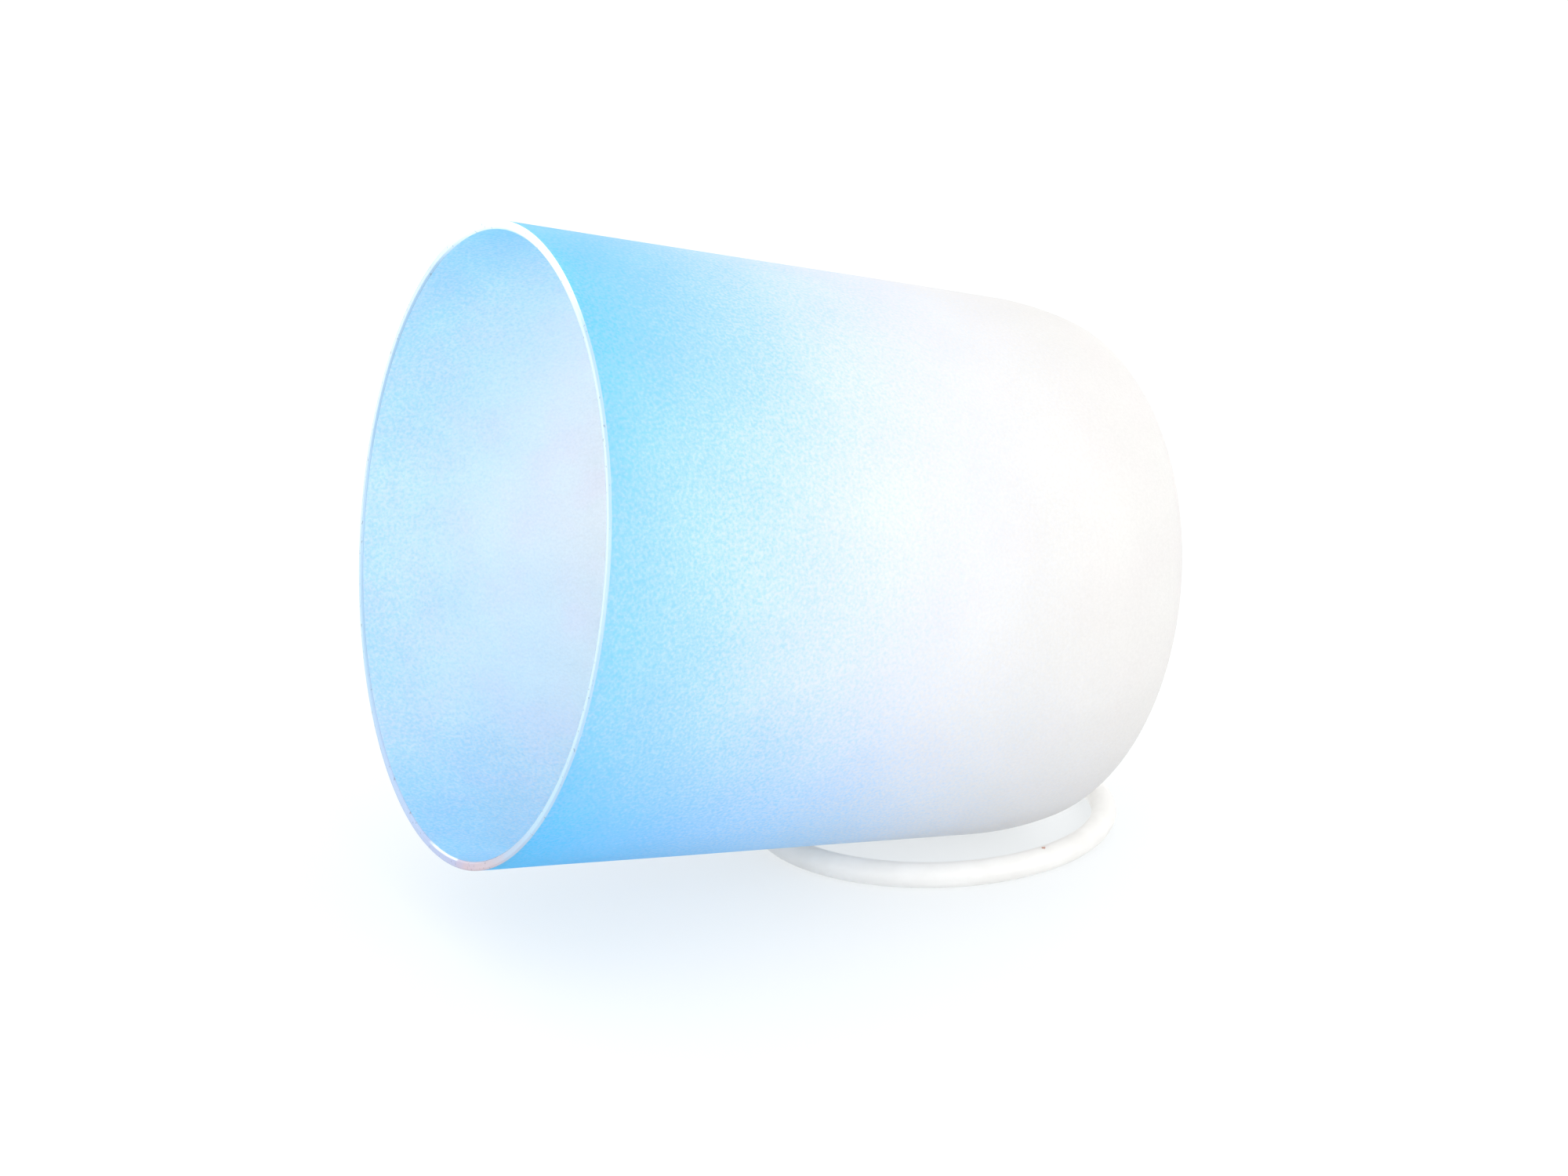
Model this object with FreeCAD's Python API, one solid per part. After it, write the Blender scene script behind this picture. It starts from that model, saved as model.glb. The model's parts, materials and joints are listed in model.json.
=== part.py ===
import FreeCAD, Part

import math
import os

# A frosted crystal singing bowl that lies on its side, propped on its rubber support ring.
#
# Frame: +X runs along the bowl's heading, from its mouth to its closed end, +Z is up, and the
# XZ plane cuts both pieces in half. The origin is on the floor under the middle of their box.

# Driving dimensions, in millimetres and degrees.

# The bowl's outside, from the rim to the closed end.
RIM_RADIUS = 100.0        # outer radius at the rim
WALL_TAPER = 3.3          # angle between the straight wall and the axis
WALL_STRAIGHT = 176.0     # how far the straight wall reaches from the rim, along the axis
SHOULDER_RADIUS = 99.0    # the gentle bend below the straight wall
SHOULDER_TURN = 17.2      # angle between the outside and the axis where the shoulder ends
HEEL_RADIUS = 22.0        # the tighter bend into the closed end
CROWN_RADIUS = 131.0      # the domed closed end

# The bowl's wall.
WALL_THICKNESS = 2.8
END_THICKNESS = 3.6       # at the middle of the closed end
RIM_BEVEL = 0.5           # the ground bevels on the rim's two edges

# The support ring: an O-ring that lies flat on the floor.
RING_RADIUS = 58.2        # from the ring's axis to the middle of its section
RING_SECTION = 4.15       # radius of the round section

# How the bowl rests: its wall on the ring, and its shoulder on the floor inside the ring.
RING_GAP = 0.15           # the hairline between the wall and the ring
TOUCH_ADVANCE = 9.2       # from the ring's axis to where the shoulder meets the floor


def polar(centre, radius, angle):
    """The section point at a radius and an angle from a centre; angle 0 points away from the axis."""
    return (centre[0] + radius * math.cos(angle), centre[1] + radius * math.sin(angle))


class Outline:
    """Half the bowl's section on one side of its wall: a straight wall and three tangent arcs.

    Section points are (distance from the axis, distance from the rim).
    """

    def __init__(self, wall_inset, end_inset):
        """The outside's outline, moved in by wall_inset, or by end_inset on the axis."""
        self.taper = math.radians(WALL_TAPER)
        self.turn = math.radians(SHOULDER_TURN)
        wall_end = RIM_RADIUS - WALL_STRAIGHT * math.tan(self.taper)
        self.shoulder = polar((wall_end, WALL_STRAIGHT), -SHOULDER_RADIUS, self.taper)
        self.heel = polar(self.shoulder, SHOULDER_RADIUS - HEEL_RADIUS, self.turn)
        self.shoulder_radius = SHOULDER_RADIUS - wall_inset
        self.heel_radius = HEEL_RADIUS - wall_inset
        across, along = self.heel
        outside_depth = along - math.sqrt((CROWN_RADIUS - HEEL_RADIUS) ** 2 - across**2) + CROWN_RADIUS
        self.depth = outside_depth - end_inset
        # The crown's arc has its centre on the axis, reaches the depth and is tangent to the heel.
        rise = self.depth - along
        self.crown_radius = (across**2 + rise**2 - self.heel_radius**2) / (2 * (rise - self.heel_radius))
        self.crown = (0.0, self.depth - self.crown_radius)
        self.heel_turn = math.atan2(along - self.crown[1], across)

    def wall_point(self, along):
        """The straight wall's point at a distance from the rim."""
        across, start = polar(self.shoulder, self.shoulder_radius, self.taper)
        return (across + (start - along) * math.tan(self.taper), along)

    def curves(self, start):
        """The outline from the wall, start away from the rim, to the axis."""
        return [
            line(self.wall_point(start), polar(self.shoulder, self.shoulder_radius, self.taper)),
            arc(self.shoulder, self.shoulder_radius, self.taper, self.turn),
            arc(self.heel, self.heel_radius, self.turn, self.heel_turn),
            arc(self.crown, self.crown_radius, self.heel_turn, math.pi / 2),
        ]


def vector(point):
    """A section point in space, with the bowl's axis along +Z and its rim at z = 0."""
    return FreeCAD.Vector(point[0], 0, point[1])


def line(first, last):
    return Part.LineSegment(vector(first), vector(last))


def arc(centre, radius, first, last):
    angles = (first, (first + last) / 2, last)
    return Part.Arc(*[vector(polar(centre, radius, angle)) for angle in angles])


def revolved(curves):
    """The solid that a closed outline sweeps about the Z axis."""
    wire = Part.Wire([curve.toShape() for curve in curves])
    return Part.Face(wire).revolve(FreeCAD.Vector(0, 0, 0), FreeCAD.Vector(0, 0, 1), 360)


def upright_bowl(outside, inside):
    """The bowl with its axis along +Z, its rim at z = 0 and its closed end at the top."""
    outer_lip = (outside.wall_point(0)[0] - RIM_BEVEL, 0.0)
    inner_lip = (inside.wall_point(0)[0] + RIM_BEVEL, 0.0)
    rim = [
        line(inside.wall_point(RIM_BEVEL), inner_lip),
        line(inner_lip, outer_lip),
        line(outer_lip, outside.wall_point(RIM_BEVEL)),
    ]
    end = line((0.0, outside.depth), (0.0, inside.depth))
    inner_curves = inside.curves(RIM_BEVEL)
    return revolved(rim + outside.curves(RIM_BEVEL) + [end] + inner_curves)


def resting_pitch(outside):
    """How far the bowl's axis dips towards the closed end, in radians.

    The lower wall's line is tangent to the ring's section from above and to the shoulder's circle
    from below, and the shoulder's circle stands on the floor.
    """
    run = RING_RADIUS + TOUCH_ADVANCE
    rise = outside.shoulder_radius - RING_SECTION
    apart = outside.shoulder_radius + RING_SECTION + RING_GAP
    wall_dip = math.asin(apart / math.hypot(run, rise)) - math.atan2(rise, run)
    return wall_dip + outside.taper


def laid_down(shape, outside, pitch):
    """The upright bowl turned onto its side, its shoulder on the floor and its rim's centre over x = 0."""
    laid = shape.copy()
    laid.rotate(FreeCAD.Vector(0, 0, 0), FreeCAD.Vector(0, 1, 0), 90 + math.degrees(pitch))
    across, along = outside.shoulder
    rim_height = outside.shoulder_radius + along * math.sin(pitch) + across * math.cos(pitch)
    laid.translate(FreeCAD.Vector(0, 0, rim_height))
    return laid


def support_ring(outside, pitch):
    """The O-ring on the floor, placed behind the shoulder's resting point."""
    across, along = outside.shoulder
    touch = along * math.cos(pitch) - across * math.sin(pitch)
    middle = FreeCAD.Vector(touch - TOUCH_ADVANCE, 0, RING_SECTION)
    return Part.makeTorus(RING_RADIUS, RING_SECTION, middle, FreeCAD.Vector(0, 0, 1))


def main():
    outside = Outline(0.0, 0.0)
    inside = Outline(WALL_THICKNESS, END_THICKNESS)
    pitch = resting_pitch(outside)
    nodes = {
        "crystal_bowl": laid_down(upright_bowl(outside, inside), outside, pitch),
        "support_ring": support_ring(outside, pitch),
    }
    box = Part.makeCompound(list(nodes.values())).optimalBoundingBox(False, False)
    to_origin = FreeCAD.Vector(-box.Center.x, 0, 0)
    os.makedirs("parts", exist_ok=True)
    for name, shape in nodes.items():
        shape.translate(to_origin)
        shape.exportStep(f"parts/{name}.step")
        print(f"{name}: {shape.Volume:.0f} mm3, valid {shape.isValid()}")
    print(f"bowl axis dips {math.degrees(pitch):.3f} degrees, rim centre at x {to_origin.x:.3f} mm")
    print(f"bowl depth {outside.depth:.2f} mm, box {box.XLength:.2f} x {box.YLength:.2f} x {box.ZLength:.2f} mm")


main()
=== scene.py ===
import json
import math

import bmesh
import bpy
from mathutils import Matrix, Vector


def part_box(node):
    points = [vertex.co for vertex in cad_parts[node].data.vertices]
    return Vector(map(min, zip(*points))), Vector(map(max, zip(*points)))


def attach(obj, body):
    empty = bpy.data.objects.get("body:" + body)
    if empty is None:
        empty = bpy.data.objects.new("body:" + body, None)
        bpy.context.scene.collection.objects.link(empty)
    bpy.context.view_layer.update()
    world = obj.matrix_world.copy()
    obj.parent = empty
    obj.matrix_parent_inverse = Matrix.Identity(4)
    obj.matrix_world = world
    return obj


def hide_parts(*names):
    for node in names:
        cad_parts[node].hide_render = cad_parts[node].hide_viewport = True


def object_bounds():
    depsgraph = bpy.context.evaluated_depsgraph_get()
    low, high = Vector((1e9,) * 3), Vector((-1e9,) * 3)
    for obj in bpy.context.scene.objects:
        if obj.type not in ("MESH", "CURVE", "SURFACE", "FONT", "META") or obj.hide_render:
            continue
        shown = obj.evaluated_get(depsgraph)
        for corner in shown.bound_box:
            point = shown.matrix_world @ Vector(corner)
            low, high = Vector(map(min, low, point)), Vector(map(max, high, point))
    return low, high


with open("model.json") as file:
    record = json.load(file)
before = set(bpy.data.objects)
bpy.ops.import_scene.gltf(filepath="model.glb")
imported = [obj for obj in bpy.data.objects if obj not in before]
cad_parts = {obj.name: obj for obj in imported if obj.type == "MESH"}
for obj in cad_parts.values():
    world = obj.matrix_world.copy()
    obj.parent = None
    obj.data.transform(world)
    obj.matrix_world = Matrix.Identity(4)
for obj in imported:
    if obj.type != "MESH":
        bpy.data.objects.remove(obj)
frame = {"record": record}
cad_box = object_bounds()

# A frosted crystal singing bowl on its side, propped on a translucent silicone ring.
# Everything is in metres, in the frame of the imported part: +X from the mouth to the closed end, +Z up.

# The camera: a 72 mm lens on a 36 mm wide sensor, aimed a little beside and below the middle.
LENS_MM = 72.0
SENSOR_MM = 36.0
CAMERA_HEADING = math.radians(26.127)     # turned from +Y towards +X
CAMERA_DIP = math.radians(17.058)         # looking down
CAMERA_ROLL = math.radians(-1.899)
CAMERA_DISTANCE = 0.9708
AIM_OFFSET = Vector((-0.0217, -0.0420, -0.0043))    # from the middle of the whole object's box

# The bowl, with the same outline as its solid.
RIM_RADIUS = 0.100
WALL_TAPER = math.radians(3.3)
WALL_STRAIGHT = 0.176
SHOULDER_RADIUS = 0.099
SHOULDER_TURN = math.radians(17.2)
HEEL_RADIUS = 0.022
CROWN_RADIUS = 0.131
WALL_THICKNESS = 0.0028
END_THICKNESS = 0.0036
RIM_BEVEL = 0.0005
EDGE_SOFTNESS = 0.00016      # how much of each ground face its softened edge takes
WAVINESS = 0.00010           # how far the spun wall wanders inwards
SWELLS = ((3, 40, 0.0), (5, -65, 1.3))    # each swell's waves around, slant per metre and offset
CALM_RIM = 0.03              # how far from the rim the swells reach their full height
WALL_STEP = 0.01             # a step along the wall, to give its direction at the rim
SEGMENTS_AROUND = 288
RIM_ROWS = 6
WALL_ROWS = 56
SHOULDER_ROWS = 10
HEEL_ROWS = 24
CROWN_ROWS = 36

# The blue film fades with the distance from the rim. On top of that fade the colour carries painted shade:
# the film is drawn deeper on the underside and a little along the top, where less light falls than on the
# flanks. The first value below is how much further along that fade the flanks are than the underside.
# Heights are above the floor.
UNDERSIDE_SHADE_SHIFT = 0.26
PAINTED_SHADE_BELOW = 0.020          # where the painted shade on the underside is full and the film is drawn heaviest
OUTSIDE_SHADE_UP_TO = 0.095    # where that painted shade has faded out and the film is as thin as on the flanks, seen from outside
INSIDE_SHADE_UP_TO = 0.050     # and seen through the wall from inside
TOP_SHADE_FROM, TOP_SHADE_TO = 0.145, 0.215
TOP_PAINTED_SHADE = 0.120          # painted shade along the top: how much less faded the film is there than on the flanks

# Where along Y the rim's inner edge carries a painted glint, a bright line.
PAINTED_GLINT_Y = -0.008

# The ring, with the faint parting line of its mould.
RING_RADIUS = 0.0582
RING_SECTION = 0.00415
PARTING_HEIGHT = 0.00005
PARTING_WIDTH = math.radians(4)
RING_SEGMENTS = 240
SECTION_SEGMENTS = 72
INCLUSION_HEADING = math.radians(-81)
INCLUSION_TURN = math.radians(84)

# The studio: a white tent, brighter at the horizon than overhead, and two square soft lamps, each with
# its place, size and power.
HORIZON_LIGHT = 1.95
OVERHEAD_LIGHT = 1.50
FRONT_LAMP = ((0.45, -1.5, 0.55), 1.2, 12.0)
MOUTH_LAMP = ((-1.25, -0.45, 0.30), 0.60, 3.5)
LAMP_TARGET = Vector((0.0, 0.0, 0.1))
FLOOR_REACH = 8.0

# The material slots of the bowl's mesh.
OUTSIDE, RIM, INSIDE = range(3)


# ---------------------------------------------------------------------------------------------
# Node trees


class Shader:
    """A short way to write one material's node tree."""

    def __init__(self, name):
        self.material = bpy.data.materials.new(name)
        self.material.use_nodes = True
        self.tree = self.material.node_tree
        self.tree.nodes.clear()
        self.place = self.add("ShaderNodeTexCoord").outputs["Object"]

    def add(self, kind, **settings):
        node = self.tree.nodes.new(kind)
        for key, value in settings.items():
            setattr(node, key, value)
        return node

    def put(self, socket, value):
        """Links an output socket, or sets a plain value."""
        if isinstance(value, bpy.types.NodeSocket):
            self.tree.links.new(value, socket)
        elif socket.type == "RGBA":
            socket.default_value = (*value, 1.0)
        else:
            socket.default_value = value

    def split(self):
        """The place of a point as its X, Y and Z, in metres."""
        parts = self.add("ShaderNodeSeparateXYZ")
        self.put(parts.inputs[0], self.place)
        return parts.outputs

    def attribute(self, name):
        return self.add("ShaderNodeAttribute", attribute_name=name).outputs["Fac"]

    def math(self, operation, first, second):
        node = self.add("ShaderNodeMath", operation=operation)
        self.put(node.inputs[0], first)
        self.put(node.inputs[1], second)
        return node.outputs[0]

    def noise(self, size, detail=2.0, roughness=0.5):
        """Noise whose features are about size across, in metres."""
        node = self.add("ShaderNodeTexNoise")
        self.put(node.inputs["Vector"], self.place)
        self.put(node.inputs["Scale"], 1.0 / size)
        self.put(node.inputs["Detail"], detail)
        self.put(node.inputs["Roughness"], roughness)
        return node.outputs["Fac"]

    def spread(self, value, low, high, to_low, to_high):
        """The value carried from one range to another, and held at its ends."""
        node = self.add("ShaderNodeMapRange")
        for name, number in (("From Min", low), ("From Max", high), ("To Min", to_low), ("To Max", to_high)):
            self.put(node.inputs[name], number)
        self.put(node.inputs["Value"], value)
        return node.outputs["Result"]

    def ramp(self, value, stops):
        """Colours along a value; each stop is (position, colour)."""
        node = self.add("ShaderNodeValToRGB")
        node.color_ramp.interpolation = "B_SPLINE"
        elements = node.color_ramp.elements
        while len(elements) < len(stops):
            elements.new(0.5)
        for element, (position, colour) in zip(elements, stops):
            element.position = position
            element.color = (*colour, 1.0)
        self.put(node.inputs["Fac"], value)
        return node.outputs["Color"]

    def blend(self, share, first, second, kind="MIX"):
        node = self.add("ShaderNodeMix", data_type="RGBA", blend_type=kind)
        self.put(node.inputs[0], share)
        self.put(node.inputs[6], first)
        self.put(node.inputs[7], second)
        return node.outputs[2]

    def shade(self, colour, brightness):
        """The colour times a grey value."""
        node = self.add("ShaderNodeVectorMath", operation="SCALE")
        self.put(node.inputs[0], colour)
        self.put(node.inputs["Scale"], brightness)
        return node.outputs[0]

    def bump(self, height, distance, under=None):
        node = self.add("ShaderNodeBump")
        self.put(node.inputs["Height"], height)
        self.put(node.inputs["Strength"], 1.0)
        self.put(node.inputs["Distance"], distance)
        if under is not None:
            self.put(node.inputs["Normal"], under)
        return node.outputs["Normal"]

    def surface(self, colour, roughness, normal, **plain):
        node = self.add("ShaderNodeBsdfPrincipled")
        self.put(node.inputs["Base Color"], colour)
        self.put(node.inputs["Roughness"], roughness)
        self.put(node.inputs["Normal"], normal)
        for name, value in plain.items():
            self.put(node.inputs[name.replace("_", " ")], value)
        return node.outputs["BSDF"]

    def translucent(self, surface, colour, normal, share):
        """The surface with a share of the light let through from behind."""
        through = self.add("ShaderNodeBsdfTranslucent")
        self.put(through.inputs["Color"], colour)
        self.put(through.inputs["Normal"], normal)
        both = self.add("ShaderNodeMixShader")
        self.put(both.inputs[0], share)
        self.put(both.inputs[1], surface)
        self.put(both.inputs[2], through.outputs["BSDF"])
        return both.outputs["Shader"]

    def finished(self, surface):
        output = self.add("ShaderNodeOutputMaterial")
        self.put(output.inputs["Surface"], surface)
        return self.material


# ---------------------------------------------------------------------------------------------
# Materials


def fade_with_painted_shade(shader, depth, shade_up_to):
    """How far the film has faded at a point, from 0 where it is heaviest to 1 where it is gone.

    It fades with the distance from the rim, and is uneven as an airbrush leaves it. On top of that it
    carries painted shade: it is drawn heavier on the underside, up to a given height, and a little along
    the top, where less light falls than on the flanks.
    """
    height = shader.split()["Z"]
    # painted shade: the film drawn deeper low on the underside and along the top
    underside_shade = shader.spread(height, PAINTED_SHADE_BELOW, shade_up_to, 0.0, UNDERSIDE_SHADE_SHIFT)
    top_shade = shader.spread(height, TOP_SHADE_FROM, TOP_SHADE_TO, 0.0, TOP_PAINTED_SHADE)
    share = shader.math("DIVIDE", shader.attribute("from_rim"), depth)
    faded = shader.math("ADD", share, shader.math("SUBTRACT", underside_shade, top_shade))
    drift = shader.spread(shader.noise(0.045), 0.3, 0.7, -0.022, 0.022)
    droplets = shader.spread(shader.noise(0.0010), 0.3, 0.7, -0.085, 0.085)
    return shader.math("ADD", shader.math("ADD", faded, drift), droplets)


def frosted_outside(depth):
    """Frosted quartz with a sky-blue film, strongest at the rim and gone by the middle."""
    shader = Shader("frosted_outside")
    # the fade carries painted shade, deeper on the underside and along the top
    distance = fade_with_painted_shade(shader, depth, OUTSIDE_SHADE_UP_TO)
    film = shader.ramp(distance, [
        (0.00, (0.090, 0.460, 0.740)),
        (0.26, (0.330, 0.468, 0.735)),
        (0.40, (0.400, 0.513, 0.740)),
        (0.54, (0.542, 0.554, 0.688)),
        (0.68, (0.578, 0.580, 0.620)),
        (0.82, (0.590, 0.586, 0.588)),
        (1.00, (0.592, 0.580, 0.560)),
    ])
    glow = shader.ramp(distance, [
        (0.00, (0.005, 0.680, 0.970)),
        (0.26, (0.130, 0.705, 0.985)),
        (0.40, (0.265, 0.772, 1.000)),
        (0.54, (0.570, 0.835, 0.960)),
        (0.68, (0.810, 0.870, 0.900)),
        (0.82, (0.870, 0.868, 0.866)),
        (1.00, (0.870, 0.858, 0.836)),
    ])
    mottling = shader.spread(shader.noise(0.030, detail=3.0), 0.3, 0.7, 0.97, 1.02)
    speckle = shader.spread(shader.noise(0.0009), 0.3, 0.7, 0.955, 1.04)
    colour = shader.shade(film, shader.math("MULTIPLY", mottling, speckle))
    roughness = shader.spread(shader.noise(0.012, detail=4.0), 0.3, 0.7, 0.42, 0.56)
    waves = shader.bump(shader.noise(0.035), 0.0006)
    normal = shader.bump(shader.noise(0.0006, detail=3.0), 0.00003, waves)
    surface = shader.surface(colour, roughness, normal, IOR=1.46, Specular_IOR_Level=0.06)
    return shader.finished(shader.translucent(surface, glow, normal, 0.42))


def frosted_inside(depth):
    """The unpainted inner face: the film shows through it, paler and a little lilac."""
    shader = Shader("frosted_inside")
    # the fade carries painted shade, deeper on the underside and along the top
    distance = fade_with_painted_shade(shader, depth, INSIDE_SHADE_UP_TO)
    film = shader.ramp(distance, [
        (0.00, (0.360, 0.740, 0.920)),
        (0.26, (0.890, 0.915, 0.950)),
        (0.42, (0.980, 0.965, 0.960)),
        (0.60, (1.000, 0.975, 0.965)),
        (0.78, (1.000, 0.980, 0.970)),
    ])
    glow = shader.ramp(distance, [
        (0.00, (0.120, 0.740, 1.000)),
        (0.26, (0.700, 0.880, 1.000)),
        (0.42, (0.940, 0.955, 1.000)),
        (0.60, (1.000, 0.970, 0.965)),
    ])
    cloud = shader.spread(shader.noise(0.016), 0.42, 0.66, 0.0, 1.0)
    lilac = shader.blend(cloud, (0.970, 1.000, 1.000), (1.000, 0.955, 1.000))
    tinted = shader.blend(1.0, film, lilac, kind="MULTIPLY")
    patches = shader.spread(shader.noise(0.022, detail=3.0), 0.3, 0.7, 0.95, 1.02)
    speckle = shader.spread(shader.noise(0.0009), 0.3, 0.7, 0.925, 1.06)
    colour = shader.shade(tinted, shader.math("MULTIPLY", patches, speckle))
    roughness = shader.spread(shader.noise(0.010, detail=3.0), 0.3, 0.7, 0.34, 0.48)
    waves = shader.bump(shader.noise(0.030), 0.0008)
    normal = shader.bump(shader.noise(0.0009, detail=3.0), 0.00005, waves)
    surface = shader.surface(colour, roughness, normal, IOR=1.46)
    return shader.finished(shader.translucent(surface, glow, normal, 0.50))


def ground_rim():
    """The polished edge, in painted light: a white core, painted lighter higher up, between two dimmer,
    blue-grey bevels whose dimness is painted shade, and a painted highlight that whitens its top.

    Where it comes near the floor it turns from lavender through salmon to a greyish cyan, a painted
    reflection of stray colours of the room travelling round inside the clear glass, and its inner edge
    carries a painted glint, a bright line.
    """
    shader = Shader("ground_rim")
    place = shader.split()
    drift = shader.spread(shader.noise(0.012), 0.3, 0.7, -0.006, 0.006)
    sideways = shader.math("ADD", place["Y"], drift)
    # painted reflection: stray colours of the room near the floor, by the place along Y
    room_reflection = shader.ramp(shader.spread(sideways, -0.076, 0.024, 0.0, 1.0), [
        (0.00, (0.520, 0.650, 0.730)),
        (0.14, (0.430, 0.480, 0.600)),
        (0.24, (0.620, 0.440, 0.440)),
        (0.46, (0.680, 0.450, 0.430)),
        (0.60, (0.430, 0.420, 0.600)),
        (1.00, (0.480, 0.560, 0.700)),
    ])
    low_down = shader.spread(place["Z"], 0.030, 0.070, 1.0, 0.0)
    from_middle = shader.math("ABSOLUTE", shader.math("SUBTRACT", shader.attribute("across_rim"), 0.5), 0.0)
    # painted shade: the bevels dimmer than the core
    bevel = shader.spread(from_middle, 0.18, 0.36, 0.0, 1.0)
    # painted light: the core lighter higher up
    lit_higher = shader.spread(place["Z"], 0.050, 0.150, 0.0, 1.0)
    core = shader.blend(lit_higher, (0.450, 0.620, 0.720), (0.700, 0.750, 0.780))
    clear = shader.blend(bevel, core, (0.400, 0.540, 0.660))
    # painted highlight: the top of the rim whitened
    crest = shader.spread(place["Z"], 0.200, 0.213, 0.0, 1.0)
    highlighted = shader.blend(crest, clear, (0.950, 0.960, 0.970))
    # painted glint: a bright line on the inner edge, near the floor
    inner_edge = shader.spread(shader.attribute("across_rim"), 0.12, 0.24, 1.0, 0.0)
    from_glint = shader.math("ABSOLUTE", shader.math("SUBTRACT", sideways, PAINTED_GLINT_Y), 0.0)
    painted_glint = shader.math("MULTIPLY", inner_edge, shader.spread(from_glint, 0.010, 0.014, 1.0, 0.0))
    # the painted reflection near the floor, with the painted glint on it
    painted_reflections = shader.blend(painted_glint, room_reflection, (0.940, 0.960, 0.980))
    chips = shader.spread(shader.noise(0.0016, detail=1.0), 0.68, 0.74, 1.0, 0.66)
    colour = shader.shade(shader.blend(low_down, highlighted, painted_reflections), chips)
    roughness = shader.spread(shader.noise(0.004, detail=3.0), 0.3, 0.7, 0.10, 0.24)
    normal = shader.bump(shader.noise(0.0012, detail=3.0), 0.00004)
    surface = shader.surface(colour, roughness, normal, IOR=1.46, Coat_Weight=0.3, Coat_Roughness=0.06)
    return shader.finished(shader.translucent(surface, colour, normal, 0.35))


def clear_silicone():
    """Translucent white rubber with cloudy flow marks and one small reddish inclusion."""
    shader = Shader("clear_silicone")
    cloud = shader.spread(shader.noise(0.009, detail=3.0), 0.3, 0.7, 0.0, 1.0)
    base = shader.blend(cloud, (0.855, 0.845, 0.828), (0.910, 0.903, 0.890))
    away = shader.add("ShaderNodeVectorMath", operation="DISTANCE")
    shader.put(away.inputs[0], shader.place)
    away.inputs[1].default_value = on_ring(middle_of("support_ring"), INCLUSION_HEADING, INCLUSION_TURN)
    raggedness = shader.spread(shader.noise(0.0006), 0.3, 0.7, -0.0003, 0.0003)
    ragged = shader.math("ADD", away.outputs["Value"], raggedness)
    inclusion = shader.spread(ragged, 0.0004, 0.0009, 1.0, 0.0)
    colour = shader.blend(inclusion, base, (0.480, 0.190, 0.120))
    roughness = shader.spread(shader.noise(0.003, detail=3.0), 0.3, 0.7, 0.34, 0.46)
    normal = shader.bump(shader.noise(0.0016), 0.00002)
    surface = shader.surface(colour, roughness, normal, IOR=1.41, Transmission_Weight=0.35)
    return shader.finished(shader.translucent(surface, colour, normal, 0.45))


def pale_floor():
    """A light table's white top: it glows a little, so the shadows on it stay pale."""
    shader = Shader("pale_floor")
    normal = shader.bump(shader.noise(0.002), 0.00002)
    glow = {"Emission_Color": (0.950, 0.985, 1.000), "Emission_Strength": 0.66}
    return shader.finished(shader.surface((0.24, 0.24, 0.24), 0.7, normal, Specular_IOR_Level=0.1, **glow))


# ---------------------------------------------------------------------------------------------
# Shapes


def polar(centre, radius, angle):
    return (centre[0] + radius * math.cos(angle), centre[1] + radius * math.sin(angle))


def arc_points(centre, radius, first, last, steps):
    """Points along an arc, both ends included."""
    return [polar(centre, radius, first + (last - first) * step / steps) for step in range(steps + 1)]


def straight_points(first, last, steps):
    """Points along a line, without its last end."""
    return [tuple(a + (b - a) * step / steps for a, b in zip(first, last)) for step in range(steps)]


def softened(before, corner, after, steps=4):
    """A corner turned into a small curve that starts and ends EDGE_SOFTNESS away from it."""
    corner = Vector(corner)
    start = corner + (Vector(before) - corner).normalized() * EDGE_SOFTNESS
    end = corner + (Vector(after) - corner).normalized() * EDGE_SOFTNESS
    curve = []
    for step in range(steps + 1):
        share = step / steps
        curve.append(tuple(start.lerp(corner, share).lerp(corner.lerp(end, share), share)))
    return curve


class Outline:
    """One side of the bowl's wall: a straight wall, a shoulder, a heel and a domed end.

    Points are (distance from the axis, distance from the rim).
    """

    def __init__(self, wall_inset, end_inset):
        wall_end = RIM_RADIUS - WALL_STRAIGHT * math.tan(WALL_TAPER)
        self.shoulder = polar((wall_end, WALL_STRAIGHT), -SHOULDER_RADIUS, WALL_TAPER)
        self.heel = polar(self.shoulder, SHOULDER_RADIUS - HEEL_RADIUS, SHOULDER_TURN)
        self.shoulder_radius = SHOULDER_RADIUS - wall_inset
        self.heel_radius = HEEL_RADIUS - wall_inset
        across, along = self.heel
        drop = math.sqrt((CROWN_RADIUS - HEEL_RADIUS) ** 2 - across**2)
        self.depth = along - drop + CROWN_RADIUS - end_inset
        rise = self.depth - along
        self.crown_radius = (across**2 + rise**2 - self.heel_radius**2) / (2 * (rise - self.heel_radius))
        self.crown = (0.0, self.depth - self.crown_radius)
        self.heel_turn = math.atan2(along - self.crown[1], across)

    def wall_point(self, along):
        across, start = polar(self.shoulder, self.shoulder_radius, WALL_TAPER)
        return (across + (start - along) * math.tan(WALL_TAPER), along)

    def body(self, start):
        """From the wall, start away from the rim, to just before the axis."""
        wall_end = polar(self.shoulder, self.shoulder_radius, WALL_TAPER)
        points = straight_points(self.wall_point(start), wall_end, WALL_ROWS)
        points += arc_points(self.shoulder, self.shoulder_radius, WALL_TAPER, SHOULDER_TURN, SHOULDER_ROWS)
        points += arc_points(self.heel, self.heel_radius, SHOULDER_TURN, self.heel_turn, HEEL_ROWS)[1:]
        crown = arc_points(self.crown, self.crown_radius, self.heel_turn, math.pi / 2, CROWN_ROWS)
        return points + crown[1:-1]


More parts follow.
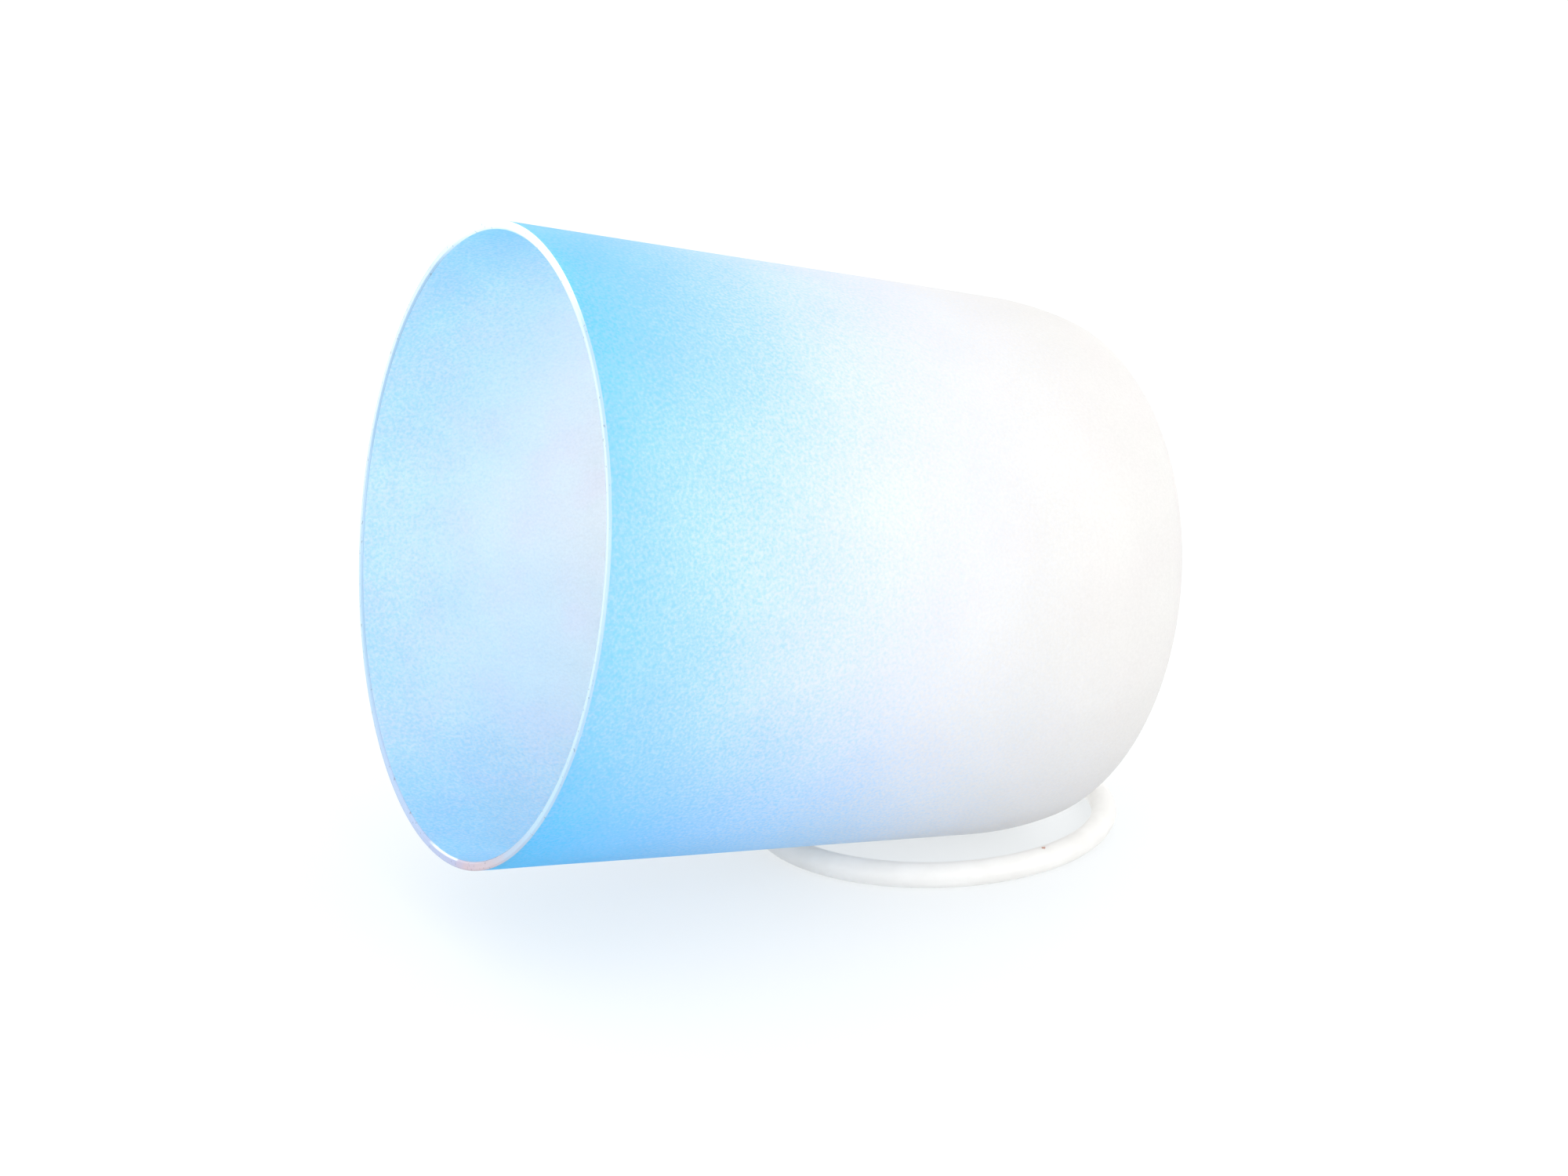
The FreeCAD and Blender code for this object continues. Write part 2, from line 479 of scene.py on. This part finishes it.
def bowl_rows(outside, inside):
    """The bowl's section as rows of (radius, distance from the rim, material of the faces after it)."""
    outer_wall, outer_foot = outside.wall_point(WALL_STEP), outside.wall_point(RIM_BEVEL)
    inner_wall, inner_foot = inside.wall_point(WALL_STEP), inside.wall_point(RIM_BEVEL)
    outer_lip = (outside.wall_point(0)[0] - RIM_BEVEL, 0.0)
    inner_lip = (inside.wall_point(0)[0] + RIM_BEVEL, 0.0)
    rim = softened(outer_wall, outer_foot, outer_lip)
    rim += softened(outer_foot, outer_lip, inner_lip)
    rim += straight_points(rim[-1], softened(outer_lip, inner_lip, inner_foot)[0], RIM_ROWS)[1:]
    rim += softened(outer_lip, inner_lip, inner_foot)
    rim += softened(inner_lip, inner_foot, inner_wall)
    clearance = RIM_BEVEL + EDGE_SOFTNESS * 2
    rows = [(*point, OUTSIDE) for point in reversed(outside.body(clearance))]
    rows += [(*point, RIM) for point in rim[:-1]]
    rows += [(*rim[-1], INSIDE)]
    return rows + [(*point, INSIDE) for point in inside.body(clearance)]


def wander(angle, along):
    """How far the outer wall dips inwards at a place, fading to nothing at the rim."""
    swell = sum(math.sin(waves * angle + slant * along + offset) for waves, slant, offset in SWELLS)
    fade = min(1.0, along / CALM_RIM)
    return WAVINESS * fade * (0.5 + 0.25 * swell)


def rim_place():
    """The centre of the bowl's rim, its axis towards the closed end, and the direction across it."""
    mount = next(m for m in frame["record"]["mounts"] if m["name"] == "rim_face")
    axis = -Vector(mount["axis"]).normalized()
    across = Vector((-axis.z, 0.0, axis.x))
    inner = Outline(WALL_THICKNESS, END_THICKNESS).wall_point(0)[0]
    middle_of_land = (RIM_RADIUS + inner) / 2
    return Vector(mount["pos_m"]) + across * middle_of_land, axis, across


def bowl():
    outside = Outline(0.0, 0.0)
    inside = Outline(WALL_THICKNESS, END_THICKNESS)
    centre, axis, across = rim_place()
    sideways = axis.cross(across)
    rows = bowl_rows(outside, inside)
    work = bmesh.new()
    from_rim = work.verts.layers.float.new("from_rim")
    across_rim = work.verts.layers.float.new("across_rim")
    inner_radius = inside.wall_point(0)[0]

    def vertex(radius, along, angle):
        spoke = across * math.cos(angle) + sideways * math.sin(angle)
        made = work.verts.new(centre + axis * along + spoke * radius)
        made[from_rim] = along
        made[across_rim] = (radius - inner_radius) / (RIM_RADIUS - inner_radius)
        return made

    circles = []
    for radius, along, zone in rows:
        circle = []
        for step in range(SEGMENTS_AROUND):
            angle = math.tau * step / SEGMENTS_AROUND
            dip = wander(angle, along) if zone == OUTSIDE else 0.0
            circle.append(vertex(radius - min(dip, radius / 2), along, angle))
        circles.append(circle)
    for circle, following, (_, _, zone) in zip(circles, circles[1:], rows):
        for step in range(SEGMENTS_AROUND):
            beside = (step + 1) % SEGMENTS_AROUND
            corners = (circle[step], circle[beside], following[beside], following[step])
            work.faces.new(corners).material_index = zone
    for circle, depth, zone in ((circles[0], outside.depth, OUTSIDE), (circles[-1], inside.depth, INSIDE)):
        tip = vertex(0.0, depth, 0.0)
        for step in range(SEGMENTS_AROUND):
            work.faces.new((circle[step], circle[(step + 1) % SEGMENTS_AROUND], tip)).material_index = zone
    materials = [frosted_outside(outside.depth), ground_rim(), frosted_inside(outside.depth)]
    return finished_piece("visual_bowl", work, materials)


def middle_of(node):
    low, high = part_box(node)
    return (low + high) / 2


def on_ring(middle, heading, turn, proud=0.0):
    """A point on the ring's surface: heading goes around the ring, turn around its section."""
    outward = Vector((math.cos(heading), math.sin(heading), 0.0))
    radius = RING_SECTION + proud
    raised = Vector((0.0, 0.0, radius * math.sin(turn)))
    return middle + outward * (RING_RADIUS + radius * math.cos(turn)) + raised


def ring():
    middle = middle_of("support_ring")
    work = bmesh.new()
    circles = []
    for step in range(RING_SEGMENTS):
        heading = math.tau * step / RING_SEGMENTS
        circle = []
        for turn in range(SECTION_SEGMENTS):
            angle = math.tau * turn / SECTION_SEGMENTS
            from_parting = math.asin(math.sin(angle))
            ridge = PARTING_HEIGHT * math.exp(-((from_parting / PARTING_WIDTH) ** 2))
            circle.append(work.verts.new(on_ring(middle, heading, angle, ridge)))
        circles.append(circle)
    for step, circle in enumerate(circles):
        following = circles[(step + 1) % RING_SEGMENTS]
        for turn in range(SECTION_SEGMENTS):
            above = (turn + 1) % SECTION_SEGMENTS
            work.faces.new((circle[turn], following[turn], following[above], circle[above]))
    return finished_piece("visual_ring", work, [clear_silicone()])


def floor():
    work = bmesh.new()
    for across, along in ((-1, -1), (1, -1), (1, 1), (-1, 1)):
        work.verts.new((across * FLOOR_REACH, along * FLOOR_REACH, 0.0))
    work.faces.new(work.verts[:])
    return finished_piece("floor", work, [pale_floor()])


def finished_piece(name, work, materials):
    """An object from a bmesh, with outward normals, smooth shading and its materials."""
    bmesh.ops.recalc_face_normals(work, faces=work.faces[:])
    for face in work.faces:
        face.smooth = True
    mesh = bpy.data.meshes.new(name)
    work.to_mesh(mesh)
    work.free()
    for material in materials:
        mesh.materials.append(material)
    piece = bpy.data.objects.new(name, mesh)
    bpy.context.scene.collection.objects.link(piece)
    return piece


# ---------------------------------------------------------------------------------------------
# Light and camera


def lamp(name, place, size, power):
    """A square soft lamp that points at the bowl."""
    light = bpy.data.lights.new(name, "AREA")
    light.size = size
    light.energy = power
    holder = bpy.data.objects.new(name, light)
    holder.location = place
    towards = LAMP_TARGET - holder.location
    holder.rotation_euler = towards.to_track_quat("-Z", "Y").to_euler()
    bpy.context.scene.collection.objects.link(holder)


def studio_light():
    """White light from all around, a large lamp in front and a weaker one that shines into the mouth."""
    world = bpy.data.worlds.new("studio")
    world.use_nodes = True
    tree = world.node_tree
    tree.nodes["Background"].inputs["Color"].default_value = (1.0, 1.0, 1.0, 1.0)
    direction = tree.nodes.new("ShaderNodeSeparateXYZ")
    tree.links.new(tree.nodes.new("ShaderNodeTexCoord").outputs["Generated"], direction.inputs[0])
    brightness = tree.nodes.new("ShaderNodeMapRange")
    brightness.inputs["To Min"].default_value = HORIZON_LIGHT
    brightness.inputs["To Max"].default_value = OVERHEAD_LIGHT
    tree.links.new(direction.outputs["Z"], brightness.inputs["Value"])
    tree.links.new(brightness.outputs["Result"], tree.nodes["Background"].inputs["Strength"])
    bpy.context.scene.world = world
    lamp("front_lamp", *FRONT_LAMP)
    lamp("mouth_lamp", *MOUTH_LAMP)
    bpy.context.scene.view_settings.view_transform = "Standard"


def camera():
    low, high = (Vector(corner) for corner in cad_box)
    level = math.cos(CAMERA_DIP)
    forward = Vector((
        math.sin(CAMERA_HEADING) * level, math.cos(CAMERA_HEADING) * level, -math.sin(CAMERA_DIP)))
    level_right = Vector((math.cos(CAMERA_HEADING), -math.sin(CAMERA_HEADING), 0.0))
    level_up = level_right.cross(forward)
    right = level_right * math.cos(CAMERA_ROLL) + level_up * math.sin(CAMERA_ROLL)
    up = level_up * math.cos(CAMERA_ROLL) - level_right * math.sin(CAMERA_ROLL)
    place = (low + high) / 2 + AIM_OFFSET - forward * CAMERA_DISTANCE
    lens = bpy.data.cameras.new("camera")
    lens.lens = LENS_MM
    lens.sensor_width = SENSOR_MM
    eye = bpy.data.objects.new("camera", lens)
    turned = Matrix((right, up, -forward)).transposed().to_4x4()
    eye.matrix_world = Matrix.Translation(place) @ turned
    bpy.context.scene.collection.objects.link(eye)
    bpy.context.scene.camera = eye


# ---------------------------------------------------------------------------------------------
# The scene

the_bowl = bowl()
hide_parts("crystal_bowl")
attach(the_bowl, "bowl")

the_ring = ring()
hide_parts("support_ring")
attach(the_ring, "ring")

floor()
studio_light()
camera()
